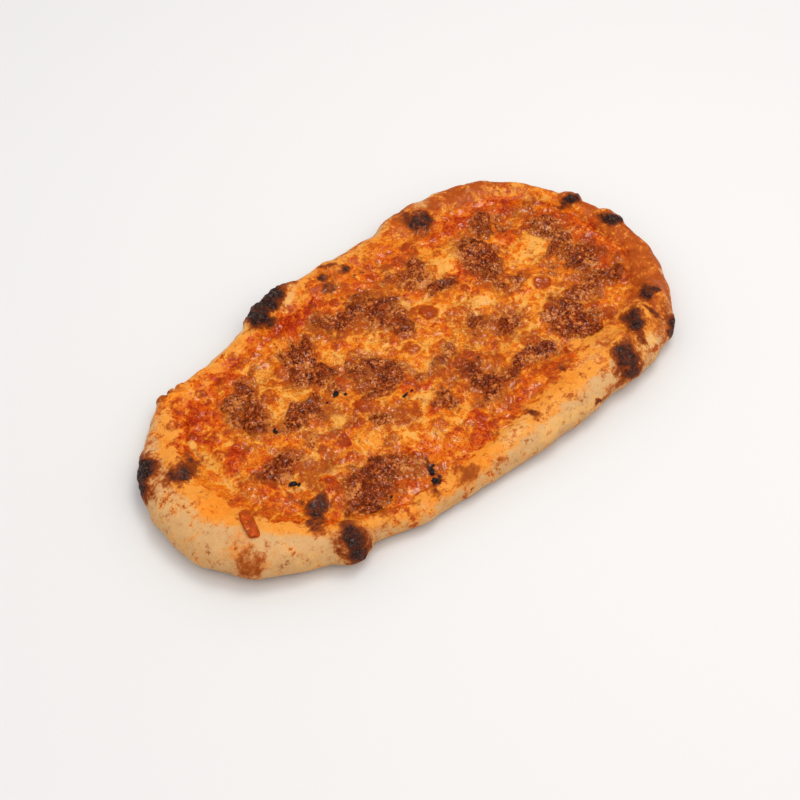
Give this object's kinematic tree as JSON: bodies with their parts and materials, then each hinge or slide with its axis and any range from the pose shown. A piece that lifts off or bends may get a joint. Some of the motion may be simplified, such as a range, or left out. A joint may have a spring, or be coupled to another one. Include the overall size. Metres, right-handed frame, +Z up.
{
  "type": "loaded focaccia flatbread",
  "caption": "Oval baked flatbread with a puffed, charred rim, melted cheese and tomato in its well, and clumps of browned minced meat on top.",
  "frame": {"origin": "middle of the bread's underside, on the surface it rests on", "axes": "+X along the bread's length, towards the end with the narrower rim; +Y across its width; +Z up, away from the surface it rests on"},
  "size_m": [0.3208, 0.1752, 0.0258],
  "materials": {
    "dough": "baked dough, golden to pale, matte with an oily bloom and charred blisters",
    "cheese": "melted cheese and tomato, oily gloss, cream to orange and red",
    "mince": "browned minced meat, grainy, moist",
    "baked_strip": "crisped tomato and cheese, oily"
  },
  "bodies": {
    "root": {"crust": "dough", "cheese": "cheese", "mince_01": "mince", "mince_02": "mince", "mince_03": "mince", "mince_04": "mince", "mince_05": "mince", "mince_06": "mince", "mince_07": "mince", "mince_08": "mince", "mince_09": "mince", "mince_10": "mince", "mince_11": "mince", "mince_12": "mince", "mince_13": "mince", "mince_14": "mince", "mince_15": "mince", "mince_16": "mince", "mince_17": "mince", "mince_18": "mince", "mince_19": "mince", "mince_20": "mince", "mince_21": "mince", "mince_22": "mince", "mince_23": "mince", "mince_24": "mince", "mince_25": "mince", "mince_26": "mince", "mince_27": "mince", "mince_28": "mince", "mince_29": "mince", "mince_30": "mince", "mince_31": "mince", "mince_32": "mince", "mince_33": "mince", "mince_34": "mince", "baked_strip": "baked_strip"}
  },
  "joints": []
}
